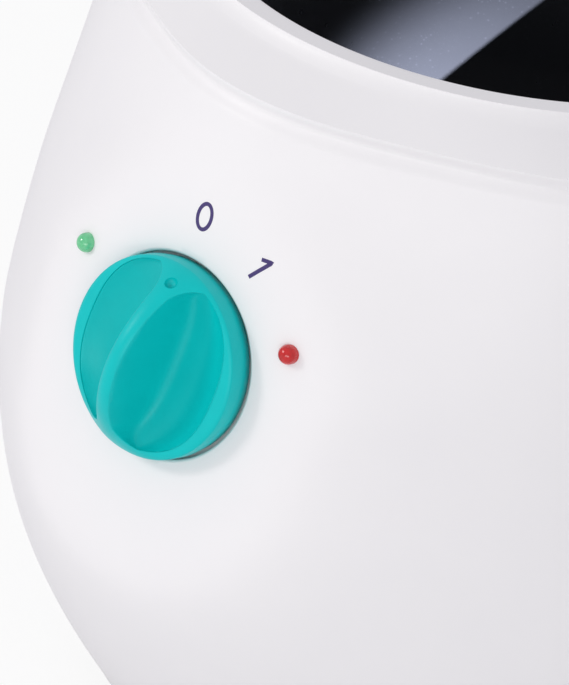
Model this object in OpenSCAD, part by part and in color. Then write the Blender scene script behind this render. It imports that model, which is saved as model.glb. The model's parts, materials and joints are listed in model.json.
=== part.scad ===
// Wax heater for roll-on cartridges: white housing, heated well, rotary switch on the front face.
// Z is up, the front faces -Y, and the underside of the feet is at z = 0.

/* [Body] */
// Height of the rim above the table
body_h = 130; // [127:0.5:136]
// How far the belly stands out past the shoulder, halfway between front and side
belly_out = 7.7; // [6:0.1:10]
// Height of the widest level
belly_z = 62.5; // [58:0.5:68]
// How strongly the upper wall bows (1 is straight)
shoulder_bow = 1.35; // [1.1:0.05:1.8]
// How far the lower edge stands in from the belly
base_in = 19.3; // [17:0.1:21]
// How far round its quarter ellipse the lower wall has curved at the edge
tuck = 0.58; // [0.4:0.01:0.8]
// Extra width at the sides over the front and back
side_swell = 9.4; // [7:0.1:10]
// Direction from the front in which the radii above hold
sight_angle = 54; // [50:1:58]
// Thickness of the housing wall
wall = 2.5; // [1.8:0.1:2.8]

/* [Collar and groove] */
// How far the collar's edge stands back from the bowl's wall
lip_back = 1.5; // [1:0.1:2]
// Rounding of the collar's inner edge
lip_round = 1.2; // [0.6:0.1:1.5]
// Width of the flat land on top of the collar
land_w = 4.5; // [3.8:0.1:4.8]
// Width of the sloping deck from the land to the groove
deck_w = 9.4; // [9:0.1:11]
// Thickness of the collar at the well
collar_t = 4.5; // [4:0.1:5.5]
// Level of the groove below the rim
groove_drop = 8.7; // [8:0.1:10]
// Depth of the soft groove
groove_deep = 0.7; // [0.3:0.1:1.1]
// Width of the soft groove
groove_w = 2.2; // [1.6:0.1:3]
// Height of the skirt that centres the collar in the housing
skirt_h = 4; // [3:0.1:5]
// Thickness of that skirt
skirt_t = 1.2; // [1:0.1:1.4]
// Clearance between the skirt and the housing
skirt_gap = 0.15; // [0.1:0.05:0.3]

/* [Front face] */
// Height of the knob's axis on the face
face_z = 82.4; // [79:0.2:86]
// Lean of the face from upright
face_tilt = 9.3; // [7:0.1:11]
// Crown radius of the face
face_crown = 180; // [140:5:400]
// Push of the front lobe at the groove
nose_out = 6.5; // [4:0.1:7.5]
// Half width of the front lobe at the groove, degrees
nose_half = 24; // [18:1:30]
// How far the lobe would pass the face if the face didn't trim it
face_over = 7; // [5:0.1:8]
// Half width of the front lobe at the face, degrees
face_half = 33; // [28:1:38]

/* [Knob] */
// Diameter of the knob
knob_d = 31.4; // [30:0.2:33]
// Height of the knob's crown above the face
knob_h = 12.4; // [11:0.1:13]
// Straight edge below the dome
knob_edge = 3.7; // [3:0.1:4.2]
// Distance of the scoops' round side from the knob's edge
scoop_in = 2.4; // [2:0.1:3]
// Depth of each scoop below its edges
scoop_deep = 5.8; // [4.8:0.1:6.2]
// Half width of the finger bar at its middle
bar_half = 1.2; // [1:0.1:2]
// Radius of the pointer dimple
dimple_r = 1; // [0.6:0.1:1.3]
// Distance of the dimple from the knob's edge
dimple_in = 2.2; // [1.8:0.1:3]
// Turn of the knob at rest from the off mark towards the on mark, degrees
knob_turn = 8; // [0:1:12]
// Width of the gap round the knob
knob_gap = 0.8; // [0.5:0.1:1.2]
// Depth of the knob's round seat at its middle
seat_deep = 2.2; // [1.8:0.1:2.6]
// Thickness of the wall behind the seat
panel_t = 2.4; // [2:0.1:3]

/* [Switch and lamps] */
// Diameter of the switch shaft
shaft_d = 6; // [5:0.5:6]
// Radial running clearance of the shaft
shaft_fit = 0.05; // [0.02:0.01:0.1]
// Radius of the knob's stem
stem_r = 4.6; // [4.2:0.1:4.8]
// Side of the switch body
switch_w = 20; // [18:0.5:21]
// Depth of the switch body
switch_t = 6.8; // [6:0.1:7]
// Diameter of each lamp
lamp_d = 3; // [2.8:0.1:3.2]
// How far each lamp's dome stands out of the face
lamp_out = 1.5; // [1.2:0.1:2]
// Distance between the two leads of a lamp
lead_pitch = 2.54; // [2:0.01:2.6]
// Distance of lamps and marks from the knob's edge
mark_out = 6.5; // [6:0.1:7]
// Direction of each lamp from straight up, degrees
lamp_angle = 65.7; // [60:0.1:68]
// Width of the control board beside each lamp
board_side = 8.8; // [8:0.1:10]
// Height of the control board
board_h = 26; // [25:1:28]
// Thickness of the control board
board_t = 1.6; // [1.2:0.1:2]
// Air gap between the board's upper edge and the insulation
board_gap = 2.8; // [1.5:0.1:4]

/* [Well] */
// Inner radius of the heating bowl
bowl_r = 44.5; // [43:0.1:46]
// Wall of the heating bowl
bowl_wall = 1.5; // [1:0.1:1.8]
// Width of the bowl's flange past its wall
flange_w = 3.4; // [2.8:0.1:3.6]
// Thickness of the silicone gasket
gasket_t = 1.5; // [1:0.1:2]
// Thickness of the insulation jacket
jacket_t = 2.4; // [1.5:0.1:2.6]
// Gap between the bowl and the jacket
jacket_gap = 0.4; // [0.3:0.1:0.6]
// Thickness of the heating element
element_t = 3; // [2:0.1:4]
// Thickness of the plate that clamps the element
clamp_t = 1.5; // [1:0.1:2]
// Thickness of the insulation pad
pad_t = 5.7; // [4:0.1:7]
// Thickness of the bracket plate
bracket_t = 1.2; // [1:0.1:1.6]
// Radius of the bowl's stud
stud_r = 2.5; // [2:0.1:3]
// Height of the nut on the stud
nut_h = 3; // [2:0.1:4]
// Radius of the thermostat's cup
cup_r = 7; // [6:0.1:8]
// Height of the thermostat's cup
cup_h = 9; // [7:0.1:9.5]
// Radius of the thermal fuse
fuse_r = 2; // [1.5:0.1:2.2]

/* [Cartridge cradle] */
// Height of the cradle
cradle_h = 37; // [32:0.5:40]
// Wall of the cradle
cradle_wall = 2; // [1.6:0.1:2.4]
// Gap between the cradle and the bowl
cradle_gap = 0.9; // [0.6:0.1:1.2]
// Width of the cartridge slot
slot_w = 56; // [50:0.5:57]
// Depth of the cartridge slot, front to back
slot_d = 36; // [32:0.5:37]
// Corner radius of the slot
slot_r = 6; // [4:0.5:8]
// Radius of each finger hole
finger_r = 7; // [6:0.1:7.2]
// Depth of the rim under the cradle's edge
cradle_rim = 6; // [4:0.5:8]

/* [Base] */
// Height of the base cover's underside above the table
foot_h = 5; // [4.5:0.1:6]
// Radius of each foot
foot_r = 5.5; // [4.5:0.1:5.8]
// Distance of the feet from the base cover's edge
foot_in = 11.8; // [11.6:0.1:13]
// Height of the housing's lower edge above the base cover's underside
edge_rise = 4; // [3.5:0.1:5]
// Thickness of the base cover's floor
floor_t = 2.5; // [2:0.1:3]
// Distance of the base screws from the housing's lower edge
screw_in = 10.8; // [10.4:0.1:12]
// Radius of the screws
screw_r = 1.5; // [1.2:0.1:1.6]
// Distance of the support posts from the axis
post_at = 26; // [24:0.1:27]
// Radius of each support post
post_r = 3; // [2.6:0.1:3.4]
// Clear height over the base cover's floor for the inlet and the wiring
room_h = 29.5; // [28:0.5:32]
// Pitch of the terminals
pitch = 10; // [9:0.5:11]

/* [Mains inlet] */
// Width of the inlet's body
inlet_w = 27; // [26:0.1:27.2]
// Height of the inlet's body
inlet_h = 20; // [19:0.1:20.2]
// Depth of the inlet's body behind its flange
inlet_deep = 20; // [19:0.5:21]
// Depth of the inlet's seat in the back of the housing
inlet_set = 3.2; // [3:0.1:3.6]
// Gap between the inlet and the bracket plate above it
inlet_gap = 2; // [1:0.1:3]
// Margin of the recess round the inlet's flange
bay_rim = 2; // [1.5:0.1:3]

/* [Hidden] */

segs = 72;            // points round the housing
step_a = 360 / segs;
round_fn = 64;
small_fn = 32;
cut = 1;              // how far a cutting solid passes the face that it opens
blend = 1;            // softness of the face's edges
lobe_limit = 50;      // directions past this never meet the face

// radial stack, from the well outwards
bowl_out = bowl_r + bowl_wall;
flange_r = bowl_out + flange_w;
rim_r = bowl_r + lip_back;
land_r = rim_r + land_w;
jacket_r = bowl_out + jacket_gap;
jacket_out = jacket_r + jacket_t;
shoulder_r = land_r + deck_w;
belly_r = shoulder_r + belly_out;
base_r = belly_r - base_in;

// vertical stack, from the table upwards
base_z = foot_h + edge_rise;
floor_top = foot_h + floor_t;
bracket_z = floor_top + room_h;
pad_z = bracket_z + bracket_t;
clamp_z = pad_z + pad_t;
element_z = clamp_z + clamp_t;
bowl_under = element_z + element_t;
bowl_floor = bowl_under + bowl_wall + 0.1;
groove_z = body_h - groove_drop;
collar_z = body_h - collar_t;
flange_top = collar_z - gasket_t;
jacket_low = bowl_floor + 2;
jacket_high = flange_top - 6;
skirt_low = groove_z - skirt_h;

deck_drop = 2.2;      // level below the rim where the collar's bend begins
deck_out = 1.6;       // reach of that bend past the land
hollow_r = land_r - 0.3;

// the face and all that is fastened behind it, by height above the face's middle
knob_r = knob_d / 2;
seat_r = knob_r + knob_gap;
seat_rim = 2.4;
knob_back = -seat_deep + 0.5;
panel_back = -seat_deep - panel_t;
switch_front = panel_back - 0.5;
board_front = switch_front - switch_t;
board_back = board_front - board_t;
lead_out = 1;
shaft_r = shaft_d / 2;
shaft_top = knob_h / 4;
key_at = 0.6 * shaft_r;
mark_ring = knob_r + mark_out;
lamp_r = lamp_d / 2;
lamp_body = 6;
lamp_x = mark_ring * sin(lamp_angle);
lamp_y = mark_ring * cos(lamp_angle);
board_w = 2 * (lamp_x + board_side);
post_inset = 4;
board_post_x = board_w / 2 - post_inset;
board_post_y = -board_h / 2 + post_inset;
board_post_r = 3;
board_screw_r = 0.95;

// the face stands out as far as the switch and board need in front of the insulation
face_r = jacket_out + board_gap + sin(face_tilt) * board_h / 2 + cos(face_tilt) * (lead_out - board_back);

element_r = bowl_out - 10;
bracket_r = bowl_out - 4;
cover_r = base_r - wall - 0.4;
cover_skirt = 2;
vent_w = 2;
vent_len = 18;
skirt_top = base_z + 5;
boss_r = 4.2;
boss_h = 6;
head_deep = 2.2;      // the base screws' heads sit this deep in the cover
screw_grip = 12;
post_boss = 3;
base_screw_at = base_r - screw_in;
foot_at = base_r - foot_in;
post_angles = [30, 150, 270];
base_screw_angles = [0, 180, 270];
foot_angles = [45, 135, 225, 315];

thermostat_a = 200;
fuse_a = 160;
side_z = bowl_floor + 18;
ear_w = 22;
ear_h = 7;
ear_t = 1;
ear_at = 9.2;
fuse_len = 10;
fuse_lead = 15;
clip_w = 4;
clip_h = 10;
clip_t = 5;
block_d = 12;
block_h = 11;
block_hole = 2;

inlet_z = bracket_z - inlet_gap - inlet_h / 2;
inlet_rim = 2;
flange_t = 2.5;
bay_w = inlet_w + 2 * (inlet_rim + bay_rim);
bay_h = inlet_h + 2 * inlet_rim + 1;
bay_wall = 2;
bay_clear = 0.3;      // gap between the recess and the notch in the base cover's skirt
nose_w = 24.4;
nose_h = 16.4;
nose_cut = 4.7;
nose_deep = 14.5;
pin_t = 2;
pin_w = 4;
pin_out = 5;
pins = [[-7, -2], [0, 2], [7, -2]];

function smooth(t) = let(c = min(max(t, 0), 1)) c * c * (3 - 2 * c);
function mix(a, b, t) = a + (b - a) * t;
function turn(a) = a > 180 ? a - 360 : a;
function softmin(a, b) = -blend * ln(exp(-a / blend) + exp(-b / blend));

// radius of the wall in the sight direction at height z
function wall_r(z) = z >= belly_z
    ? belly_r - belly_out * pow((z - belly_z) / (groove_z - belly_z), shoulder_bow)
    : let(u = tuck * min((belly_z - z) / (belly_z - base_z), 1))
        belly_r - base_in * (1 - sqrt(1 - u * u)) / (1 - sqrt(1 - tuck * tuck));

// the sides swell out, the front and back draw in, and this dies out towards the round base
function swell(a) = side_swell * (pow(sin(a), 2) - pow(sin(sight_angle), 2));
function fade(z) = z >= belly_z ? 1 : pow(cos(90 * min((belly_z - z) / (belly_z - base_z), 1)), 2);

// the lobe at the front reaches a little past the face's plane, which trims it flat
face_out = face_r + face_over - wall_r(face_z) - swell(0);
function lobe(a, z) = let(t = smooth((groove_z - z) / (groove_z - face_z)))
    mix(nose_out, face_out, t) * exp(-pow(a / mix(nose_half, face_half, t), 2));

function face_line(a, z) = abs(a) < lobe_limit
    ? (face_r - (z - face_z) * tan(face_tilt) - pow(face_r * tan(a), 2) / (2 * face_crown)) / cos(a)
    : 10 * face_r;

// outer radius of the housing in direction a from the front, at height z up to the groove
function outer_r(a, z) = let(b = turn(a))
    softmin(wall_r(z) + fade(z) * (swell(b) + lobe(b, z)), face_line(b, z));

// height of the knob's dome at distance r from its axis
knob_low = knob_back + knob_edge;
function dome_z(r) = knob_low + (knob_h - knob_low) * pow(1 - pow(min(r / knob_r, 1), 2), 0.79);

// the heater stands centred on its outline, so the well's axis is a little behind the middle
front_reach = face_r + max([for (r = [0:0.5:knob_r]) dome_z(r) * cos(face_tilt) + r * sin(face_tilt)]);
back_reach = belly_r + swell(0);
axis_y = (front_reach - back_reach) / 2;
inlet_y = outer_r(180, inlet_z - bay_h / 2) - inlet_set;

function at(a, r, z) = [r * sin(a), -r * cos(a), z];
function ring(z, inset = 0) = [for (i = [0:segs - 1]) at(i * step_a, outer_r(i * step_a, z) - inset, z)];
function edge_ring(z, inset) =
    [for (i = [0:segs - 1]) at(i * step_a, outer_r(i * step_a, groove_z) - inset, z)];
function deck_ring(t) = let(z = mix(groove_z + groove_w / 2, body_h - deck_drop, t))
    [for (i = [0:segs - 1]) at(i * step_a, mix(outer_r(i * step_a, groove_z), land_r + deck_out, t), z)];
function round_ring(r, z) = [for (i = [0:segs - 1]) at(i * step_a, r, z)];

// closed loft through rings that all have as many points, lowest first
module loft(rings) {
    n = len(rings[0]);
    polyhedron(
        points = [for (r = rings) each r],
        faces = concat(
            [[for (j = [0:n - 1]) j]],
            [for (i = [0:len(rings) - 2], j = [0:n - 1]) let(b = i * n, k = (j + 1) % n)
                [b + j, b + n + j, b + n + k]],
            [for (i = [0:len(rings) - 2], j = [0:n - 1]) let(b = i * n, k = (j + 1) % n)
                [b + j, b + n + k, b + k]],
            [[for (j = [n - 1:-1:0]) (len(rings) - 1) * n + j]]),
        convexity = 4);
}

module placed(paint) color(paint) translate([0, axis_y, 0]) children();
module on_face() translate([0, -face_r, face_z]) rotate([90 - face_tilt, 0, 0]) children();
module tube(r_out, r_in, h) difference() {
    cylinder(r = r_out, h = h, $fn = round_fn);
    translate([0, 0, -cut]) cylinder(r = r_in, h = h + 2 * cut, $fn = round_fn);
}
module round_at(angles, dist, z = 0) for (a = angles)
    translate([dist * cos(a), dist * sin(a), z]) children();
module pan_screw(length, r = screw_r) {
    head_h = 4 / 3 * r;
    cross_t = 0.27 * r;
    cylinder(r = r, h = length, $fn = small_fn);
    translate([0, 0, -head_h]) difference() {
        cylinder(r = 2 * r, h = head_h, $fn = small_fn);
        for (a = [0, 90]) rotate([0, 0, a]) translate([-1.3 * r, -cross_t, -cut])
            cube([2.6 * r, 2 * cross_t, cut + head_h / 2]);
    }
}

// lower moulding: curved wall up to the bottom of the soft groove
lower_levels = concat(
    [for (i = [0:6]) mix(base_z, belly_z, i / 7)],
    [for (i = [0:9]) mix(belly_z, groove_z - groove_w / 2, i / 9)]);
module outer_skin() loft(concat(
    [for (z = lower_levels) ring(z)],
    [ring(groove_z - groove_w / 5, groove_deep * 0.7), ring(groove_z, groove_deep)]));

inner_levels = [for (i = [0:7]) mix(base_z, groove_z - cut, i / 7)];
module inner_skin() loft(concat(
    [[for (p = ring(base_z, wall)) [p[0], p[1], base_z - cut]]],
    [for (z = inner_levels) ring(z, wall)],
    [edge_ring(groove_z + cut, wall)]));

// upper moulding: from the groove up the sloping deck, round the bend and over the land
module collar_skin() loft(concat(
    [ring(groove_z, groove_deep), edge_ring(groove_z + groove_w / 5, groove_deep * 0.7)],
    [for (t = [0, 0.5, 1]) deck_ring(t)],
    [round_ring(land_r + deck_out * 0.5, body_h - deck_drop * 0.45),
     round_ring(land_r, body_h - 0.4), round_ring(rim_r + lip_round + cut, body_h)]));

// hollow of the well's mouth with the rounded lip
module mouth() rotate_extrude($fn = round_fn * 2) polygon(concat(
    [[0, collar_z - cut], [rim_r, collar_z - cut]],
    [for (q = [0:15:90]) [rim_r + lip_round * (1 - cos(q)), body_h - lip_round * (1 - sin(q))]],
    [[rim_r + lip_round, body_h + cut], [0, body_h + cut]]));

// the skirt below the groove stands inside the housing and centres the collar
module top_collar() placed("white") difference() {
    union() {
        collar_skin();
        loft([edge_ring(skirt_low, wall + skirt_gap), edge_ring(groove_z + cut / 2, wall + skirt_gap)]);
    }
    loft([edge_ring(skirt_low - cut, wall + skirt_gap + skirt_t),
          edge_ring(groove_z, wall + skirt_gap + skirt_t), round_ring(hollow_r, collar_z)]);
    mouth();
}

module bay_block(grow, y0) translate([-bay_w / 2 - grow, y0, inlet_z - bay_h / 2 - grow])
    cube([bay_w + 2 * grow, belly_r, bay_h + 2 * grow]);

// what stands inside the wall: thick wall behind the knob seat, board posts, inlet bay, screw bosses
module inner_supports() {
    on_face() translate([0, 0, panel_back]) cylinder(r = seat_r + seat_rim, h = 3 * panel_t, $fn = round_fn);
    on_face() for (s = [-1, 1]) translate([s * board_post_x, board_post_y, board_front])
        cylinder(r = board_post_r, h = -board_front, $fn = small_fn);
    bay_block(bay_wall, inlet_y - bay_wall);
    round_at(base_screw_angles, base_screw_at, floor_top + boss_h)
        cylinder(r = boss_r, h = screw_grip - boss_h + 3, $fn = small_fn);
    for (a = base_screw_angles) rotate([0, 0, a])
        translate([base_screw_at + boss_r / 2, -wall / 2, floor_top + boss_h + 2])
            cube([belly_r, wall, boss_h]);
}

module housing() placed("white") difference() {
    outer_skin();
    difference() { inner_skin(); inner_supports(); }
    on_face() translate([0, 0, -seat_deep]) cylinder(r = seat_r, h = belly_r / 3, $fn = round_fn * 2);
    on_face() translate([0, 0, panel_back - cut])
        cylinder(r = stem_r + knob_gap / 2, h = panel_t + seat_deep + cut, $fn = round_fn);
    on_face() for (s = [-1, 1]) {
        translate([s * lamp_x, lamp_y, panel_back])
            cylinder(r = lamp_r + 0.1, h = panel_t + seat_deep + 2 * wall, $fn = small_fn);
        translate([s * board_post_x, board_post_y, board_front - cut])
            cylinder(r = board_screw_r + 0.05, h = board_screw_r * 5 + cut, $fn = small_fn);
    }
    bay_block(0, inlet_y);
    translate([-inlet_w / 2 - 0.1, inlet_y - bay_wall - cut, inlet_z - inlet_h / 2 - 0.1])
        cube([inlet_w + 0.2, bay_wall + 2 * cut, inlet_h + 0.2]);
    round_at(base_screw_angles, base_screw_at, floor_top + boss_h - cut)
        cylinder(r = screw_r - 0.15, h = screw_grip - boss_h + cut + 1.5, $fn = small_fn);
}

// shallow pan that closes the housing from below
cover_edge = [[6, 0], [3, 1], [1.2, 2.3]];
module base_cover() placed("whitesmoke") difference() {
    union() {
        rotate_extrude($fn = round_fn * 2) polygon(concat(
            [[0, foot_h]], [for (p = cover_edge) [base_r - p[0], foot_h + p[1]]],
            [[base_r - 0.3, base_z - 0.2], [cover_r, base_z - 0.2], [cover_r, skirt_top],
             [cover_r - cover_skirt, skirt_top], [cover_r - cover_skirt, floor_top], [0, floor_top]]));
        round_at(post_angles, post_at, floor_top) cylinder(r = post_r + 1.5, h = post_boss, $fn = small_fn);
        round_at(base_screw_angles, base_screw_at, floor_top)
            cylinder(r = boss_r, h = boss_h, $fn = small_fn);
    }
    round_at(foot_angles, foot_at, foot_h - cut) cylinder(r = foot_r, h = 1 + cut, $fn = small_fn);
    round_at(base_screw_angles, base_screw_at, foot_h - cut)
        cylinder(r = screw_r + 0.2, h = floor_t + boss_h + 2 * cut, $fn = small_fn);
    round_at(base_screw_angles, base_screw_at, foot_h - cut)
        cylinder(r = screw_r * 2 + 0.3, h = head_deep + cut, $fn = small_fn);
    round_at(post_angles, post_at, foot_h + 1.5)
        cylinder(r = screw_r, h = floor_t + post_boss, $fn = small_fn);
    for (i = [-2:2]) translate([i * 3 * vent_w - vent_w / 2, 2 * vent_w, foot_h - cut])
        cube([vent_w, vent_len, floor_t + 2 * cut]);
    bay_block(bay_wall + bay_clear, inlet_y - bay_wall - bay_clear);
}

module rubber_feet() placed("dimgray") round_at(foot_angles, foot_at) rotate_extrude($fn = 48)
    polygon([[0, 0], [foot_r - 1.2, 0], [foot_r - 0.4, 0.5], [foot_r - 0.1, 1.4], [foot_r - 0.1, foot_h + 1],
        [0, foot_h + 1]]);

module base_screws() placed("silver") round_at(base_screw_angles, base_screw_at, foot_h + head_deep)
    pan_screw(floor_t + screw_grip - head_deep, screw_r - 0.2);

// each post has a spigot that stands in the base cover's boss
module support_posts() placed("silver") {
    post_foot = floor_top + post_boss;
    tap_deep = 10;
    round_at(post_angles, post_at, post_foot) difference() {
        union() {
            cylinder(r = post_r, h = bracket_z - post_foot, $fn = small_fn);
            translate([0, 0, -post_boss - 0.5])
                cylinder(r = screw_r - 0.05, h = post_boss + 0.6, $fn = small_fn);
        }
        translate([0, 0, bracket_z - post_foot - tap_deep])
            cylinder(r = screw_r, h = tap_deep + cut, $fn = small_fn);
    }
}

module bracket_plate() placed("lightgray") translate([0, 0, bracket_z]) difference() {
    union() {
        cylinder(r = bracket_r, h = bracket_t, $fn = round_fn * 2);
        tube(bracket_r, bracket_r - bracket_t, pad_t);
    }
    hole_h = bracket_t + 2 * cut;
    translate([0, 0, -cut]) cylinder(r = stud_r + 0.2, h = hole_h, $fn = small_fn);
    round_at(post_angles, post_at, -cut) cylinder(r = screw_r + 0.1, h = hole_h, $fn = small_fn);
    translate([0, post_at, -cut]) cylinder(r = 4, h = hole_h, $fn = small_fn);
}

// heads sit in pockets of the insulation pad
module bracket_screws() placed("silver") round_at(post_angles, post_at, bracket_z + bracket_t)
    rotate([180, 0, 0]) pan_screw(bracket_t + 9, screw_r - 0.05);

module heating_bowl() placed("#222428") {
    out_round = 5;
    in_round = out_round - 1;
    mouth_cut = 0.8;
    rotate_extrude($fn = round_fn * 2) polygon(concat(
        [[0, bowl_under], [bowl_out - out_round, bowl_under]],
        [for (q = [15:15:75]) [bowl_out - out_round * (1 - sin(q)), bowl_under + out_round * (1 - cos(q))]],
        [[bowl_out, bowl_under + out_round], [bowl_out, flange_top - bowl_wall],
         [flange_r, flange_top - bowl_wall], [flange_r, flange_top], [bowl_r + mouth_cut, flange_top],
         [bowl_r, flange_top - mouth_cut], [bowl_r, bowl_floor + in_round]],
        [for (q = [75:-15:15]) [bowl_r - in_round * (1 - sin(q)), bowl_floor + in_round * (1 - cos(q))]],
        [[bowl_r - in_round, bowl_floor], [0, bowl_floor]]));
}

// welded to the middle of the bowl's underside
module bowl_stud() placed("silver") {
    stud_low = bracket_z - nut_h - 2;
    translate([0, 0, stud_low]) cylinder(r = stud_r, h = bowl_under - stud_low, $fn = small_fn);
}

module well_gasket() placed("darkgray") translate([0, 0, flange_top])
    tube(flange_r - 0.4, rim_r + 0.2, gasket_t);

tab_w = 4;
tab_at = 6;
module heating_element() placed("tan") {
    translate([0, 0, element_z]) tube(element_r, stud_r + 0.3, element_t);
    for (s = [-1, 1]) translate([s * tab_at - tab_w / 2, element_r - 1, element_z + element_t / 3])
        cube([tab_w, tab_w + 1, element_t / 4]);
}

module element_clamp() placed("silver") translate([0, 0, clamp_z]) difference() {
    hole_r = element_r / 7;
    cylinder(r = element_r - 3, h = clamp_t, $fn = round_fn);
    translate([0, 0, -cut]) cylinder(r = stud_r + 0.2, h = clamp_t + 2 * cut, $fn = small_fn);
    for (a = [30:60:330]) rotate([0, 0, a]) translate([4 * hole_r, 0, -cut])
        cylinder(r = hole_r, h = clamp_t + 2 * cut, $fn = small_fn);
}

module insulation_pad() placed("beige") difference() {
    translate([0, 0, pad_z]) tube(bracket_r - bracket_t - 0.3, stud_r + 0.4, pad_t);
    round_at(post_angles, post_at, pad_z - cut)
        cylinder(r = screw_r * 2 + 0.5, h = 2.5 + cut, $fn = small_fn);
}

module side_window(a, half, h) rotate([0, 0, a])
    translate([bowl_r, -half, side_z - h / 2]) cube([jacket_out - bowl_r + 2 * cut, 2 * half, h]);

module insulation_jacket() placed("beige") difference() {
    translate([0, 0, jacket_low]) tube(jacket_out, jacket_r, jacket_high - jacket_low);
    side_window(thermostat_a, cup_r + 4, ear_w + 4);
    side_window(fuse_a, fuse_lead / 2 + 0.5, clip_h + 2);
}

module bowl_nut() placed("silver") translate([0, 0, bracket_z - nut_h]) difference() {
    cylinder(r = 1.84 * stud_r, h = nut_h, $fn = 6);
    translate([0, 0, -cut]) cylinder(r = stud_r + 0.05, h = nut_h + 2 * cut, $fn = small_fn);
}

// bimetal switch whose cup is shaped to the bowl's wall
module thermostat() placed("ivory") difference() {
    blade_w = 4;
    rotate([0, 0, thermostat_a]) translate([bowl_out - 2, 0, side_z]) rotate([0, 90, 0]) union() {
        cylinder(r = cup_r, h = cup_h, $fn = 48);
        translate([-ear_w / 2, -ear_h / 2, cup_h / 3]) cube([ear_w, ear_h, ear_t]);
        for (s = [-1, 1]) translate([s * 3 - 0.4, -blade_w / 2, cup_h]) cube([0.8, blade_w, 3]);
    }
    cylinder(r = bowl_out, h = body_h, $fn = round_fn * 2);
    rotate([0, 0, thermostat_a]) for (s = [-1, 1]) translate([bowl_out, 0, side_z + s * ear_at])
        rotate([0, 90, 0]) cylinder(r = 1.1, h = cup_h / 3 + ear_t, $fn = small_fn);
}

module thermostat_screws() placed("silver") difference() {
    head_at = cup_h / 3 + ear_t - 2;
    rotate([0, 0, thermostat_a]) for (s = [-1, 1]) translate([bowl_out + head_at, 0, side_z + s * ear_at])
        rotate([0, -90, 0]) pan_screw(head_at + 1, 1);
    cylinder(r = bowl_out, h = body_h, $fn = round_fn * 2);
}

module thermal_fuse() placed("gold") rotate([0, 0, fuse_a]) translate([bowl_out + fuse_r + 0.2, 0, side_z])
    rotate([90, 0, 0]) union() {
        translate([0, 0, -fuse_len / 2]) cylinder(r = fuse_r, h = fuse_len, $fn = small_fn);
        translate([0, 0, -fuse_lead / 2]) cylinder(r = fuse_r / 4, h = fuse_lead, $fn = small_fn);
    }

// bent strip that holds the fuse against the bowl
module fuse_clip() placed("silver") rotate([0, 0, fuse_a]) difference() {
    bore = fuse_r + 0.05;
    leg_t = 0.8;
    lip_h = clip_h / 2 - bore - leg_t;
    translate([bowl_out + 0.2, -clip_w / 2, side_z - clip_h / 2]) cube([clip_t, clip_w, clip_h]);
    translate([bowl_out + fuse_r + 0.2, -clip_w, side_z]) rotate([-90, 0, 0])
        cylinder(r = bore, h = 2 * clip_w, $fn = small_fn);
    translate([bowl_out - cut, -clip_w, side_z - bore]) cube([fuse_r + 0.2 + cut, 2 * clip_w, 2 * bore]);
    for (low = [-clip_h / 2 - cut, clip_h / 2 - lip_h])
        translate([bowl_out + 1.2, -clip_w, side_z + low]) cube([clip_t, 2 * clip_w, lip_h + cut]);
}

module rotary_switch() placed("black") on_face() difference() {
    union() {
        translate([-switch_w / 2, -switch_w / 2, board_front]) cube([switch_w, switch_w, switch_t]);
        translate([0, 0, board_front]) cylinder(r = stem_r, h = switch_t + 0.3, $fn = round_fn);
    }
    translate([0, 0, board_front + 1.5]) cylinder(r = shaft_r + shaft_fit, h = switch_t, $fn = round_fn);
}

// flat on one side of the shaft's outer end keys the knob
module shaft_shape(grow, from, to) difference() {
    translate([0, 0, from]) cylinder(r = shaft_r + grow, h = to - from, $fn = round_fn);
    translate([-shaft_d, key_at + grow, switch_front + 1]) cube([2 * shaft_d, shaft_d, to - switch_front]);
}

module switch_shaft() placed("silver") on_face() rotate([0, 0, -knob_turn])
    shaft_shape(0, board_front + 1.8, shaft_top);

// one scoop: a pocket in the shape of a D, straight along the finger bar and round along the rim
scoop_sides = 14;
scoop_steps = 9;
bar_flare = 0.5;
scoop_corner = 2;
scoop_r = knob_r - scoop_in;
scoop_end = sqrt(pow(scoop_r, 2) - pow(bar_half + bar_flare + scoop_corner, 2));
function bar_side(y) = let(t = abs(y) / scoop_end, c = max(0, 1 - scoop_end * (1 - t) / scoop_corner))
    bar_half + bar_flare * pow(t, 4) + scoop_corner * (1 - sqrt(1 - c * c));
function rim_side(y) = sqrt(scoop_r * scoop_r - y * y);
function scoop_section(y) = let(
    b = bar_side(y), c = rim_side(y), d = scoop_deep * sqrt(1 - pow(y / scoop_end, 4)),
    zb = dome_z(sqrt(b * b + y * y)), zc = dome_z(scoop_r))
    concat(
        [for (j = [0:scoop_sides]) let(q = 180 * j / scoop_sides)
            [mix(b, c, (1 + cos(q)) / 2), y, mix(zb, zc, (1 + cos(q)) / 2) - d * sin(q)]],
        [[b, y, knob_h + cut], [c, y, knob_h + cut]]);
module scoop() loft([for (i = [-scoop_steps:scoop_steps])
    scoop_section(0.998 * scoop_end * sin(90 * i / scoop_steps))]);

module knob() placed("darkturquoise") on_face() rotate([0, 0, -knob_turn]) difference() {
    dimple_at = knob_r - dimple_in;
    union() {
        rotate_extrude($fn = round_fn * 2) polygon(concat(
            [[0, knob_back], [knob_r, knob_back], [knob_r, knob_low]],
            [for (q = [8:8:80]) [knob_r * cos(q), dome_z(knob_r * cos(q))]],
            [[0, knob_h]]));
        translate([0, 0, switch_front + 0.6])
            cylinder(r = stem_r, h = knob_back - switch_front + knob_edge / 2, $fn = round_fn);
    }
    for (m = [0, 1]) mirror([m, 0, 0]) scoop();
    translate([0, dimple_at, dome_z(dimple_at) + 0.2]) sphere(r = dimple_r, $fn = small_fn);
    shaft_shape(shaft_fit, switch_front, shaft_top + 0.1);
}

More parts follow.
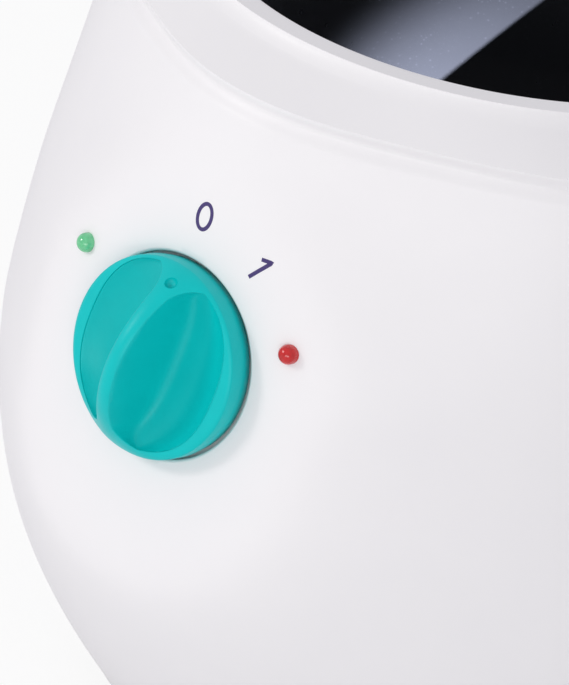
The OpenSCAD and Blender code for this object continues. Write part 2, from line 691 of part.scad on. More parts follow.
module control_board() placed("darkgreen") on_face() translate([0, 0, board_back]) difference() {
    hole_h = board_t + 2 * cut;
    translate([-board_w / 2, -board_h / 2, 0]) cube([board_w, board_h, board_t]);
    for (s = [-1, 1]) translate([s * board_post_x, board_post_y, -cut])
        cylinder(r = board_screw_r + 0.65, h = hole_h, $fn = small_fn);
    for (s = [-1, 1], t = [-1, 1]) translate([s * lamp_x + t * lead_pitch / 2, lamp_y, -cut])
        cylinder(r = 0.5, h = hole_h, $fn = small_fn);
}

module board_screws() placed("silver") on_face() for (s = [-1, 1])
    translate([s * board_post_x, board_post_y, board_back])
        pan_screw(board_t + board_screw_r * 4.7, board_screw_r);

module lamp(paint, side) placed(paint) on_face() translate([side * lamp_x, lamp_y, 0]) {
    tip = lamp_out - pow(lamp_x, 2) / (2 * face_crown);
    lead_t = 0.5;
    translate([0, 0, tip - lamp_body]) cylinder(r = lamp_r, h = lamp_body - lamp_r, $fn = 48);
    translate([0, 0, tip - lamp_r]) sphere(r = lamp_r, $fn = 48);
    translate([0, 0, tip - lamp_body - 1]) cylinder(r = lamp_r + 0.4, h = 1, $fn = 48);
    for (t = [-1, 1]) translate([t * lead_pitch / 2 - lead_t / 2, -lead_t / 2, board_back - lead_out])
        cube([lead_t, lead_t, tip - lamp_body - 0.99 - board_back + lead_out]);
}
module green_lamp() lamp("limegreen", -1);
module red_lamp() lamp("red", 1);

// socket with the two sloped corners of an earthed inlet
module mains_inlet() placed("black") translate([0, inlet_y, inlet_z]) difference() {
    union() {
        translate([-inlet_w / 2 - inlet_rim, 0, -inlet_h / 2 - inlet_rim])
            cube([inlet_w + 2 * inlet_rim, flange_t, inlet_h + 2 * inlet_rim]);
        translate([-inlet_w / 2, -inlet_deep, -inlet_h / 2]) cube([inlet_w, inlet_deep + 0.01, inlet_h]);
    }
    rotate([90, 0, 0]) translate([0, 0, -flange_t - cut]) linear_extrude(flange_t + cut + nose_deep)
        polygon([[-nose_w / 2, nose_h / 2], [nose_w / 2, nose_h / 2], [nose_w / 2, nose_cut - nose_h / 2],
            [nose_w / 2 - nose_cut, -nose_h / 2], [nose_cut - nose_w / 2, -nose_h / 2],
            [-nose_w / 2, nose_cut - nose_h / 2]]);
    for (p = pins) translate([p[0] - pin_t / 2, -inlet_deep - cut, p[1] - pin_w / 2])
        cube([pin_t, inlet_deep - nose_deep + 2 * cut, pin_w]);
}

module inlet_pins() placed("silver") for (p = pins)
    translate([p[0] - pin_t / 2, inlet_y - inlet_deep - pin_out, inlet_z + p[1] - pin_w / 2])
        cube([pin_t, inlet_deep + 2, pin_w]);

module terminal_block() placed("ivory") translate([-1.5 * pitch, -block_d, floor_top]) difference() {
    cube([3 * pitch, block_d, block_h]);
    for (i = [0:2]) translate([(i + 0.5) * pitch, block_d / 2, block_h * 0.27])
        cylinder(r = block_hole, h = block_h, $fn = small_fn);
    for (i = [0:2]) translate([(i + 0.5) * pitch, -cut, block_h * 0.45]) rotate([-90, 0, 0])
        cylinder(r = block_hole * 0.8, h = block_d + 2 * cut, $fn = small_fn);
}

module terminal_screws() placed("silver") for (i = [-1:1])
    translate([i * pitch, -block_d / 2, floor_top + block_h * 0.27 + 0.2]) difference() {
        screw_h = block_h * 0.55;
        cylinder(r = block_hole - 0.1, h = screw_h, $fn = small_fn);
        translate([-block_hole - cut, -0.3, screw_h - 1]) cube([2 * (block_hole + cut), 0.6, 1 + cut]);
    }

module earth_tag() placed("silver") {
    tag_w = 8;
    tag_t = 0.8;
    translate([0, 0, bracket_z - tag_t]) difference() {
        translate([-tag_w / 2, 1.84 * stud_r + 3.4, 0]) cube([tag_w, tag_w + 6, tag_t]);
        translate([0, 1.84 * stud_r + 3.4 + 10, -cut])
            cylinder(r = screw_r + 0.1, h = tag_t + 2 * cut, $fn = small_fn);
    }
}

// drop-in holder: round plate with two finger holes, a shallow rim, gussets and the upright sleeve
module cradle_sleeve(grow, h) linear_extrude(h) {
    for (s = [-1, 1], t = [-1, 1]) translate([s * (slot_w / 2 - slot_r), t * (slot_d / 2 - slot_r)])
        circle(r = slot_r + grow, $fn = 48);
    square([slot_w + 2 * grow, slot_d - 2 * slot_r], center = true);
    square([slot_w - 2 * slot_r, slot_d + 2 * grow], center = true);
}
module cartridge_cradle() placed("#303236") translate([0, 0, bowl_floor + 0.2]) {
    out = bowl_r - cradle_gap;
    hole_at = (slot_d / 2 + cradle_wall + out) / 2;
    difference() {
        union() {
            cradle_sleeve(cradle_wall, cradle_h);
            translate([0, 0, cradle_h - cradle_wall]) cylinder(r = out, h = cradle_wall, $fn = round_fn * 2);
            translate([0, 0, cradle_h - cradle_rim]) tube(out, out - cradle_wall, cradle_rim);
            for (x = [-1, 1] * (slot_w / 2 - slot_r)) translate([x, 0, cradle_h - cradle_rim])
                rotate([90, 0, 90]) linear_extrude(cradle_wall, center = true) polygon([
                    [-slot_d / 2 - cradle_wall - cradle_rim, cradle_rim], [-slot_d / 2, -cradle_rim],
                    [slot_d / 2, -cradle_rim], [slot_d / 2 + cradle_wall + cradle_rim, cradle_rim]]);
        }
        translate([0, 0, cradle_wall]) cradle_sleeve(0, cradle_h);
        for (s = [-1, 1]) translate([0, s * hole_at, cradle_h - cradle_rim - cut])
            cylinder(r = finger_r, h = cradle_rim + 2 * cut, $fn = 48);
    }
}

housing();
top_collar();
base_cover();
rubber_feet();
base_screws();
support_posts();
bracket_plate();
bracket_screws();
heating_bowl();
bowl_stud();
well_gasket();
heating_element();
element_clamp();
insulation_pad();
insulation_jacket();
bowl_nut();
thermostat();
thermostat_screws();
thermal_fuse();
fuse_clip();
rotary_switch();
switch_shaft();
knob();
control_board();
board_screws();
green_lamp();
red_lamp();
mains_inlet();
inlet_pins();
terminal_block();
terminal_screws();
earth_tag();
cartridge_cradle();
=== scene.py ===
import bmesh
import bpy
import json
import math
import numpy as np
from mathutils import Matrix, Vector


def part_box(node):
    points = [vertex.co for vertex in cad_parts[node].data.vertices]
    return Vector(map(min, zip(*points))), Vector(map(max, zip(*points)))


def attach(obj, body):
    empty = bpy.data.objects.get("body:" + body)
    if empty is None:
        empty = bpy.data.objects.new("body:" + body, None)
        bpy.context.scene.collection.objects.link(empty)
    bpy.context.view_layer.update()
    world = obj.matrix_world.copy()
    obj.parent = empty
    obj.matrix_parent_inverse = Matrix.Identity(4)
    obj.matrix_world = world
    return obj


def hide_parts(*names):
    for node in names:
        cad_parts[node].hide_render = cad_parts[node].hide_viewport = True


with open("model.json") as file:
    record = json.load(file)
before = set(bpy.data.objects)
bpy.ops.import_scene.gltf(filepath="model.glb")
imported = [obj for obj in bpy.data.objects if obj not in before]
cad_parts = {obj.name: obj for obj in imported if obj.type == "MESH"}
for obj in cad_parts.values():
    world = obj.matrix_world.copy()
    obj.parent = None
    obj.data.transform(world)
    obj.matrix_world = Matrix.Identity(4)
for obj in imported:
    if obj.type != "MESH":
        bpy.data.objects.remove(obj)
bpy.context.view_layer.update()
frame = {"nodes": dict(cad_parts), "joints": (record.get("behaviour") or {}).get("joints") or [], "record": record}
nodes = frame["nodes"]
turnJoint = next(j for j in frame["joints"] if j["name"] == "knob_turn")
print("frame loaded:", len(nodes), "nodes")


def smooth(t):
    # 3c2 - 2c3 of t clipped to 0..1
    c = np.clip(t, 0, 1)
    return c * c * (3 - 2 * c)


def mix(a, b, t):
    # a at t = 0, b at t = 1
    return a + (b - a) * t


def softMin(a, b, soft):
    # -s ln(exp(-a/s) + exp(-b/s)), written so that it can't overflow
    low = np.minimum(a, b)
    return low - soft * np.log(np.exp((low - a) / soft) + np.exp((low - b) / soft))


def arc(centre, radius, start, end, steps):
    # points of a circle's arc, angles in degrees
    q = np.radians(np.linspace(start, end, steps))
    return np.stack([centre[0] + radius * np.cos(q), centre[1] + radius * np.sin(q)], -1)


def fullTurn(sides):
    return np.linspace(0, 2 * np.pi, sides, endpoint=False)


def shadeSmooth(mesh, sharpFrom):
    # smooth faces, with sharp edges from the given angle in degrees
    mesh.shade_smooth()
    mesh.set_sharp_from_angle(angle=math.radians(sharpFrom))


def meshFrom(name, points, quads, ends=()):
    # one object from a point array, an array of quads and whole polygons for the ends
    mesh = bpy.data.meshes.new(name)
    faces = np.asarray(quads).tolist() + list(ends)
    mesh.from_pydata(np.asarray(points, float).reshape(-1, 3).tolist(), [], faces)
    mesh.update()
    shadeSmooth(mesh, 35)
    obj = bpy.data.objects.new(name, mesh)
    bpy.context.scene.collection.objects.link(obj)
    return obj


def gridQuads(rows, cols, wrap=True, flip=False):
    # quads between neighbouring rows and columns of a rows x cols grid
    i = np.arange(rows - 1)[:, None] * cols
    j = np.arange(cols if wrap else cols - 1)[None, :]
    k = (j + 1) % cols
    q = np.stack([i + j, i + k, i + cols + k, i + cols + j], -1).reshape(-1, 4)
    return q[:, ::-1] if flip else q


def ringSurface(name, rings, flip=False):
    # rings[i, j] is point j of ring i; both ends are closed by one polygon
    rows, cols = rings.shape[:2]
    low, high = list(range(cols)), list(range((rows - 1) * cols, rows * cols))
    ends = [low, high[::-1]] if flip else [low[::-1], high]
    return meshFrom(name, rings, gridQuads(rows, cols, flip=flip), ends)


def loopSurface(name, rings, flip=False):
    # as ringSurface, but the last ring joins the first
    rows, cols = rings.shape[:2]
    return meshFrom(name, rings, gridQuads(rows + 1, cols, flip=flip) % (rows * cols))


def weld(obj, reach):
    # joins points that lie closer together than reach and drops the flattened faces
    work = bmesh.new()
    work.from_mesh(obj.data)
    bmesh.ops.remove_doubles(work, verts=work.verts, dist=reach)
    bmesh.ops.dissolve_degenerate(work, edges=work.edges, dist=reach)
    bmesh.ops.recalc_face_normals(work, faces=work.faces)
    work.to_mesh(obj.data)
    work.free()


def cutWith(obj, cutter, operation="DIFFERENCE"):
    # takes the cutter's solid out of the object, or keeps what both share, and removes the cutter
    cut = obj.modifiers.new("cut", "BOOLEAN")
    cut.operation = operation
    cut.solver = "EXACT"
    cut.object = cutter
    bpy.context.view_layer.update()
    shaped = bpy.data.meshes.new_from_object(obj.evaluated_get(bpy.context.evaluated_depsgraph_get()))
    obj.modifiers.clear()
    old = obj.data
    obj.data = shaped
    bpy.data.meshes.remove(old)
    bpy.data.objects.remove(cutter)


def feed(tree, socket, value):
    # links an output to the socket, or sets a plain number or colour on it
    if isinstance(value, Value):
        value = value.socket
    if isinstance(value, bpy.types.NodeSocket):
        tree.links.new(value, socket)
    else:
        socket.default_value = value


def addNode(tree, kind, settings, inputs):
    node = tree.nodes.new(kind)
    for key, value in settings.items():
        setattr(node, key, value)
    for key, value in inputs.items():
        feed(tree, node.inputs[key], value)
    return node


class Value:
    # wraps an output socket, so that sums and products of values are written as expressions
    def __init__(self, tree, socket):
        self.tree, self.socket = tree, socket

    def calc(self, operation, other):
        node = addNode(self.tree, "ShaderNodeMath", {"operation": operation}, {0: self, 1: other})
        return Value(self.tree, node.outputs[0])

    def __add__(self, other):
        return self.calc("ADD", other)

    def __mul__(self, other):
        return self.calc("MULTIPLY", other)

    __radd__ = __add__
    __rmul__ = __mul__


class Finish:
    # one material: a Principled surface and the nodes that feed it
    def __init__(self, name):
        self.material = bpy.data.materials.new(name)
        self.material.use_nodes = True
        self.tree = self.material.node_tree
        self.tree.nodes.clear()
        self.surface = self.add("ShaderNodeBsdfPrincipled", {}, {})
        self.out = self.add("ShaderNodeOutputMaterial", {}, {"Surface": self.surface.outputs[0]})
        self.place = self.add("ShaderNodeTexCoord", {}, {}).outputs["Object"]

    def add(self, kind, settings, inputs):
        return addNode(self.tree, kind, settings, inputs)

    def set(self, **inputs):
        for key, value in inputs.items():
            feed(self.tree, self.surface.inputs[key.replace("_", " ")], value)

    def noise(self, size, detail=3, roughness=0.55, stretch=(1, 1, 1)):
        # noise whose grains are about size metres
        moved = self.add("ShaderNodeMapping", {}, {"Vector": self.place, "Scale": stretch})
        node = self.add("ShaderNodeTexNoise", {}, {"Vector": moved.outputs[0], "Scale": 1 / size,
                                                   "Detail": detail, "Roughness": roughness})
        return Value(self.tree, node.outputs["Fac"])

    def specks(self, size, inner, outer):
        # round specks in cells of about size metres: 1 inside inner, 0 outside outer, as shares of a cell
        cells = self.add("ShaderNodeTexVoronoi", {}, {"Vector": self.place, "Scale": 1 / size})
        return self.ramp(cells.outputs["Distance"], [(inner, 1.0), (outer, 0.0)])

    def ramp(self, value, stops):
        # a level that goes straight from the first (position, level) stop to the second
        node = self.add("ShaderNodeValToRGB", {}, {"Fac": value})
        for element, (position, level) in zip(node.color_ramp.elements, stops):
            element.position = position
            element.color = (level, level, level, 1)
        return Value(self.tree, node.outputs["Color"])

    def blend(self, factor, first, second):
        # colour between two colours
        return self.add("ShaderNodeMix", {"data_type": "RGBA"}, {0: factor, 6: first, 7: second}).outputs[2]

    def bump(self, height, distance, strength):
        node = self.add("ShaderNodeBump", {}, {"Height": height, "Distance": distance, "Strength": strength})
        return node.outputs["Normal"]


def rgb(red, green, blue):
    # a colour as seen, 0 to 255, to the linear values that sockets hold
    seen = [c / 255 for c in (red, green, blue)]
    return tuple(c / 12.92 if c <= 0.04045 else ((c + 0.055) / 1.055) ** 2.4 for c in seen) + (1.0,)


def glossWhite():
    # white gloss plastic: faint mottle, slight waviness, rubbed patches and a few dust specks in the gloss
    f = Finish("glossWhite")
    dust = f.specks(0.0022, 0.02, 0.06)
    rubbed = f.ramp(f.noise(0.012, 5), [(0.45, 0.0), (0.75, 1.0)])
    f.set(Base_Color=f.blend(f.noise(0.02, 2), rgb(243, 242, 242), rgb(239, 238, 239)),
          Roughness=0.42 + 0.06 * rubbed + 0.08 * dust,
          Normal=f.bump(f.noise(0.006, 2), 0.000012, 0.5),
          Coat_Weight=0.06, Coat_Roughness=0.3, Specular_IOR_Level=0.25)
    return f.material


def baseWhite():
    # plain matt white of the base moulding
    f = Finish("baseWhite")
    grain = f.noise(0.0006, 2)
    f.set(Base_Color=f.blend(f.noise(0.015, 3), rgb(228, 228, 228), rgb(221, 221, 223)),
          Roughness=0.42 + 0.1 * grain, Normal=f.bump(grain, 0.00002, 0.4))
    return f.material


def knobTeal():
    # teal plastic with a fine spark-eroded grain and slow clouds in its tone
    f = Finish("knobTeal")
    grain = f.noise(0.00028, 3, 0.6)
    cloud = f.noise(0.006, 3)
    f.set(Base_Color=f.blend(cloud, rgb(0, 190, 190), rgb(0, 200, 199)),
          Roughness=0.3 + 0.12 * grain + 0.04 * cloud,
          Normal=f.bump(grain, 0.00004, 0.5), Specular_IOR_Level=0.22)
    return f.material


def lampLens(name, deep, bright):
    # tinted epoxy: two tones in a faint swirl under a clear gloss
    def build():
        f = Finish(name)
        f.set(Base_Color=f.blend(f.noise(0.0011, 2), deep, bright),
              Roughness=0.08 + 0.05 * f.noise(0.0007, 2),
              Transmission_Weight=0.12, IOR=1.5, Coat_Weight=0.6, Coat_Roughness=0.03)
        return f.material
    return build


def inkPurple():
    # printed ink, slightly uneven
    f = Finish("inkPurple")
    f.set(Base_Color=f.blend(f.noise(0.0008, 3), rgb(58, 44, 104), rgb(70, 56, 116)),
          Roughness=0.4 + 0.1 * f.noise(0.0004, 2))
    return f.material


def bowlCoat():
    # dark non-stick coat with fine flecks
    f = Finish("bowlCoat")
    f.set(Base_Color=f.blend(f.specks(0.0011, 0.08, 0.2), rgb(38, 40, 44), rgb(46, 48, 53)),
          Roughness=0.24 + 0.1 * f.noise(0.004, 3), Coat_Weight=0.4, Coat_Roughness=0.12,
          Normal=f.bump(f.noise(0.0009, 3), 0.00002, 0.3), Metallic=0.25)
    return f.material


def cradleBlack():
    # black heat-proof plastic with a satin spark finish
    f = Finish("cradleBlack")
    grain = f.noise(0.0005, 3)
    f.set(Base_Color=f.blend(grain, rgb(22, 23, 26), rgb(33, 34, 38)), Roughness=0.38 + 0.14 * grain,
          Normal=f.bump(grain, 0.00003, 0.4))
    return f.material


def plainFinish(name, low, high, grainSize, rough, metallic=0.0, bump=0.00002, stretch=(1, 1, 1)):
    # two close tones in clouds nine grains wide, and a grain in the gloss and the surface
    def build():
        f = Finish(name)
        grain = f.noise(grainSize, 4, stretch=stretch)
        f.set(Base_Color=f.blend(f.noise(grainSize * 9, 3), low, high), Roughness=rough + 0.12 * grain,
              Metallic=metallic, Normal=f.bump(grain, bump, 0.4))
        return f.material
    return build


finishes = {
    "white_gloss": glossWhite,
    "base_white": baseWhite,
    "knob_teal": knobTeal,
    "lamp_green": lampLens("lampGreen", rgb(60, 175, 110), rgb(140, 240, 180)),
    "lamp_red": lampLens("lampRed", rgb(180, 0, 0), rgb(232, 6, 10)),
    "bowl_coat": bowlCoat,
    "cradle_black": cradleBlack,
    "feet_rubber": plainFinish("feetRubber", rgb(50, 50, 52), rgb(64, 64, 66), 0.0005, 0.7),
    "steel": plainFinish("steel", rgb(176, 178, 182), rgb(196, 198, 200), 0.0004, 0.28, 1.0,
                         stretch=(1, 1, 9)),
    "silicone": plainFinish("silicone", rgb(92, 92, 98), rgb(104, 104, 112), 0.0006, 0.55),
    "mica": plainFinish("mica", rgb(190, 168, 128), rgb(206, 186, 148), 0.0012, 0.5, 0.1),
    "wool": plainFinish("wool", rgb(222, 216, 198), rgb(238, 233, 218), 0.0009, 0.85, bump=0.0003),
    "phenolic": plainFinish("phenolic", rgb(214, 204, 176), rgb(226, 218, 194), 0.0006, 0.4),
    "fuse_metal": plainFinish("fuseMetal", rgb(200, 176, 110), rgb(216, 192, 128), 0.0003, 0.3, 1.0),
    "switch_black": plainFinish("switchBlack", rgb(30, 30, 32), rgb(42, 42, 45), 0.0006, 0.45),
    "board_green": plainFinish("boardGreen", rgb(22, 96, 62), rgb(32, 112, 74), 0.0008, 0.4),
    "pin_metal": plainFinish("pinMetal", rgb(206, 198, 176), rgb(222, 216, 198), 0.0003, 0.25, 1.0,
                             stretch=(1, 9, 1)),
    "nylon": plainFinish("nylon", rgb(232, 230, 220), rgb(240, 238, 230), 0.0007, 0.45),
}
made = {slot: build() for slot, build in finishes.items()}
slotOf = {part["node"]: part["material_slot"] for part in frame["record"]["subparts"]}
for nodeName, obj in nodes.items():
    obj.data.materials.clear()
    obj.data.materials.append(made[slotOf[nodeName]])
print("finishes:", len(made))


def dress(obj, slot, bodyName, *replaced, material=None):
    # gives the piece its finish, the body that it moves with and the nodes that it stands for
    obj.data.materials.clear()
    obj.data.materials.append(material or made[slot])
    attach(obj, bodyName)
    if replaced:
        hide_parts(*replaced)


bowlLow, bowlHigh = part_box("heating_bowl")
wellY = (bowlLow.y + bowlHigh.y) / 2
bowl = {
    "radius": bowlHigh.x - 0.0049,      # the flange stands out by the rest
    "wall": 0.0015,
    "flangeTop": bowlHigh.z,
    "lip": 0.0008,          # rounding from the flange into the well
    "floor": 0.050,
    "floorWall": 0.0016,
    "bottomRound": 0.004,
    "outerRound": 0.005,
    "core": 0.0002,         # radius of the small flat at the middle of the floor
}

body = {
    "rimZ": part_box("top_collar")[1].z,
    "baseZ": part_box("housing")[0].z,
    "grooveZ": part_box("housing")[1].z,
    "bellyR": 0.0676,       # radius at the widest level, in the sight direction
    "bellyOut": 0.0077,     # how far the belly stands out past the shoulder
    "bellyZ": 0.0625,
    "shoulderBow": 1.35,
    "baseIn": 0.0193,
    "tuck": 0.58,
    "sideSwell": 0.0094,
    "sightAngle": 54.0,
    "wall": 0.0025,
    "soft": 0.001,          # softness of the face's edges
    "grooveDeep": 0.0009,
    "grooveHalf": 0.0021,
    "faceR": wellY - turnJoint["pos_m"][1],
    "faceZ": turnJoint["pos_m"][2],
    "faceTilt": math.degrees(math.atan2(turnJoint["axis"][2], -turnJoint["axis"][1])),
    "faceCrown": 0.180,
    "faceOver": 0.007,
    "faceHalf": 33.0,
    "faceReach": 50.0,      # degrees to each side within which the face trims the form
    "noseOut": 0.0065,
    "noseHalf": 24.0,
    "sides": 480,
    "rows": 120,
}


def wallR(z):
    # upper wall: belly - out * share^bow; lower wall: a quarter ellipse that tucks in
    b = body
    up = np.clip((z - b["bellyZ"]) / (b["grooveZ"] - b["bellyZ"]), 0, None)
    u = b["tuck"] * np.clip((b["bellyZ"] - z) / (b["bellyZ"] - b["baseZ"]), 0, 1)
    low = b["bellyR"] - b["baseIn"] * (1 - np.sqrt(1 - u * u)) / (1 - math.sqrt(1 - b["tuck"] ** 2))
    return np.where(z >= b["bellyZ"], b["bellyR"] - b["bellyOut"] * up ** b["shoulderBow"], low)


def outerR(turn, z):
    # wall + fading (swell + lobe), trimmed softly by the leaning crowned face; turn in degrees from the front
    b = body
    a = (np.asarray(turn) + 180) % 360 - 180
    fade = np.where(z >= b["bellyZ"], 1.0,
                    np.cos(np.pi / 2 * np.clip((b["bellyZ"] - z) / (b["bellyZ"] - b["baseZ"]), 0, 1)) ** 2)
    sight = math.sin(math.radians(b["sightAngle"])) ** 2
    swell = b["sideSwell"] * (np.sin(np.radians(a)) ** 2 - sight)
    faceLobe = b["faceR"] + b["faceOver"] - wallR(np.array(b["faceZ"])) + b["sideSwell"] * sight
    t = smooth((b["grooveZ"] - z) / (b["grooveZ"] - b["faceZ"]))
    lobe = mix(b["noseOut"], faceLobe, t) * np.exp(-(a / mix(b["noseHalf"], b["faceHalf"], t)) ** 2)
    near = np.radians(np.clip(a, -b["faceReach"], b["faceReach"]))
    face = (b["faceR"] - (z - b["faceZ"]) * math.tan(math.radians(b["faceTilt"]))
            - (b["faceR"] * np.tan(near)) ** 2 / (2 * b["faceCrown"])) / np.cos(near)
    face = np.where(np.abs(a) < b["faceReach"], face, 10 * b["faceR"])
    return softMin(wallR(z) + fade * (swell + lobe), face, b["soft"])


def onRing(turn, radius, z):
    # the point at turn degrees from the front, radius from the well's axis and level z
    a = np.radians(turn)
    return np.stack(np.broadcast_arrays(radius * np.sin(a), wellY - radius * np.cos(a), z), -1)


# the face's own axes: x to the right, up along the leaning face, out of it
tilt = math.radians(body["faceTilt"])
faceOrigin = np.array(turnJoint["pos_m"])
faceX = np.array([1.0, 0, 0])
faceUp = np.array([0, math.sin(tilt), math.cos(tilt)])
faceOut = np.array([0, -math.cos(tilt), math.sin(tilt)])


def onFace(x, y, out):
    # origin + x right + y up + out
    x, y, out = np.broadcast_arrays(x, y, out)
    return faceOrigin + x[..., None] * faceX + y[..., None] * faceUp + out[..., None] * faceOut


def faceHeight(x, y):
    # how far the housing's surface stands out of the face's plane over (x, y), by repeated correction
    out = np.zeros(np.broadcast(x, y).shape)
    for _ in range(12):
        p = onFace(x, y, out)
        turn = np.degrees(np.arctan2(p[..., 0], wellY - p[..., 1]))
        out = out - (np.hypot(p[..., 0], wellY - p[..., 1]) - outerR(turn, p[..., 2]))
    return out


def grooveDip(z):
    # the soft groove: cosine squared across its width
    share = np.clip((z - body["grooveZ"]) / body["grooveHalf"], -1, 1)
    return body["grooveDeep"] * np.cos(np.pi / 2 * share) ** 2


def housingSurface():
    # outer rings up to the groove, then back down the inner wall
    b = body
    turn = np.linspace(0, 360, b["sides"], endpoint=False)
    grooveLow = b["grooveZ"] - b["grooveHalf"]
    levels = np.concatenate([mix(b["baseZ"], grooveLow, np.linspace(0, 1, b["rows"])),
                             mix(grooveLow, b["grooveZ"], np.linspace(0, 1, 9)[1:])])
    outer = onRing(turn, outerR(turn, levels[:, None]) - grooveDip(levels)[:, None], levels[:, None])
    inner = levels[::-1][::4]
    inner[-1] = b["baseZ"]
    within = onRing(turn, outerR(turn, inner[:, None]) - b["wall"], inner[:, None])
    return loopSurface("housing_shell", np.concatenate([outer, within]))


collar = {
    "rimR": bowl["radius"] + bowl["wall"],
    "landW": 0.0045,
    "lipRound": 0.0012,
    "thick": 0.0045,
    "deckDrop": 0.0022,     # the bend from the deck to the land, down and out
    "deckOut": 0.0016,
    "bendOut": 1.2,         # powers of the bend's soft ellipse
    "bendUp": 0.62,
    "landBack": 0.0003,     # how far the land's underside stays inside its edge
    "skirtDeep": 0.004,     # the skirt that plugs into the housing
    "skirtIn": 0.0014,
    "skirtGap": 0.00016,
}


def collarSurface():
    # from the groove up the sloping deck, round the bend, over the land, into the mouth and back by the skirt
    b, c = body, collar
    turn = np.linspace(0, 360, b["sides"], endpoint=False)
    quarter = np.radians(np.linspace(0, 90, 9))[1:, None]
    lowR = outerR(turn, b["grooveZ"])
    landR = c["rimR"] + c["landW"]
    landEdge, lipR = landR + c["deckOut"], c["rimR"] + c["lipRound"]
    deckTop, under = b["rimZ"] - c["deckDrop"], b["rimZ"] - c["thick"]
    skirtEnd = b["grooveZ"] - c["skirtDeep"]
    rise = np.linspace(b["grooveZ"], b["grooveZ"] + b["grooveHalf"], 9)[:, None]
    t = np.linspace(0, 1, 14)[1:, None]

    def ringAt(radius, z):
        return onRing(turn, np.atleast_2d(radius), z)

    return loopSurface("collar_shell", np.concatenate([
        ringAt(lowR - grooveDip(rise), rise),
        ringAt(mix(lowR, landEdge, t), mix(rise[-1], deckTop, t)),
        ringAt(landEdge - c["deckOut"] * np.sin(quarter) ** c["bendOut"],
               deckTop + c["deckDrop"] * (1 - np.cos(quarter)) ** c["bendUp"]),
        ringAt(mix(landR, lipR, np.linspace(0, 1, 5)[1:, None]), b["rimZ"]),
        ringAt(lipR - c["lipRound"] * np.sin(quarter), b["rimZ"] - c["lipRound"] * (1 - np.cos(quarter))),
        ringAt(c["rimR"], under),
        ringAt(landR - c["landBack"], under),
        ringAt(lowR - b["wall"] - c["skirtIn"], skirtEnd),
        ringAt(lowR - b["wall"] - c["skirtGap"], skirtEnd),
        ringAt(lowR - b["wall"] - c["skirtGap"], b["grooveZ"])]))


seat = {
    "radius": 0.0154,
    "deep": 0.0022,
    "edge": 0.0005,         # rounding of the seat's edge
    "past": 0.0004,         # how far the cutter reaches past the edge
    "tall": 0.012,
    "sides": 192,
}


def seatCutter():
    # floor, wall and rounded edge of the knob's seat; the edge follows the crowned face
    s = seat
    q = fullTurn(s["sides"])
    edgeR = s["radius"] + s["edge"]
    edgeOut = faceHeight(edgeR * np.sin(q), edgeR * np.cos(q))
    bend = np.radians(np.linspace(0, 78, 8))[:, None]
    radius = np.concatenate([[[s["radius"]]], s["radius"] + s["edge"] * (1 - np.cos(bend)),
                             [[edgeR + s["past"]], [edgeR + s["past"]]]])
    out = np.concatenate([np.full((1, len(q)), -s["deep"]), edgeOut - s["edge"] + s["edge"] * np.sin(bend),
                          [edgeOut + 0.0003], [edgeOut + s["tall"]]])
    return ringSurface("seat_cutter", onFace(radius * np.sin(q), radius * np.cos(q), out), flip=True)


inletLow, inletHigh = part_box("mains_inlet")
bay = {
    "side": (inletHigh.x - inletLow.x) / 2 + 0.002,
    "low": inletLow.z - 0.0005,
    "high": inletHigh.z + 0.0005,
    "back": inletHigh.y - 0.0025,       # plane that the inlet's flange lies on
    "far": 0.09,
    "wall": 0.002,
    "deeper": 0.01,         # how far the cuts go past that plane
    "holeSide": 0.0136,
    "holeHalf": 0.0101,
    "formTop": 0.06,        # the housing's outer form up to here trims the recess
    "formInset": 0.0002,
}


def boxSolid(name, low, high):
    # the floor's four corners, at the low and at the high level
    x0, y0, z0 = low
    x1, y1, z1 = high
    corners = np.array([(x0, y0), (x1, y0), (x1, y1), (x0, y1)])
    return ringSurface(name, np.stack([np.column_stack([corners, np.full(4, z)]) for z in (z0, z1)]))


def outerForm():
    # the housing's outer form as one closed solid, drawn in a little
    turn = np.linspace(0, 360, 240, endpoint=False)
    z = np.linspace(body["baseZ"] + 0.0001, bay["formTop"], 40)[:, None]
    return ringSurface("outer_form", onRing(turn, outerR(turn, z) - bay["formInset"], z))


def bayBox(grow, back):
    b = bay
    return boxSolid("bay_box", (-b["side"] - grow, back, b["low"] - grow),
                    (b["side"] + grow, b["far"], b["high"] + grow))


def bayLiner():
    # walls and floor of the recess round the inlet, trimmed by the housing's outer form
    b = bay
    liner = bayBox(b["wall"], b["back"] - b["wall"])
    cutWith(liner, outerForm(), "INTERSECT")
    cutWith(liner, bayBox(0, b["back"]))
    middle = (b["low"] + b["high"]) / 2
    cutWith(liner, boxSolid("inlet_hole", (-b["holeSide"], b["back"] - b["deeper"], middle - b["holeHalf"]),
                            (b["holeSide"], b["back"] + b["deeper"], middle + b["holeHalf"])))
    liner.name = "inlet_bay"
    liner.data.shade_flat()
    return liner


housingObj = housingSurface()
cutWith(housingObj, seatCutter())
cutWith(housingObj, bayBox(0, bay["back"] - bay["deeper"]))
shadeSmooth(housingObj.data, 32)
dress(housingObj, "white_gloss", "base", "housing")
dress(bayLiner(), "white_gloss", "base")
dress(collarSurface(), "white_gloss", "base", "top_collar")
print("housing and collar:", len(housingObj.data.polygons), "faces in the housing")


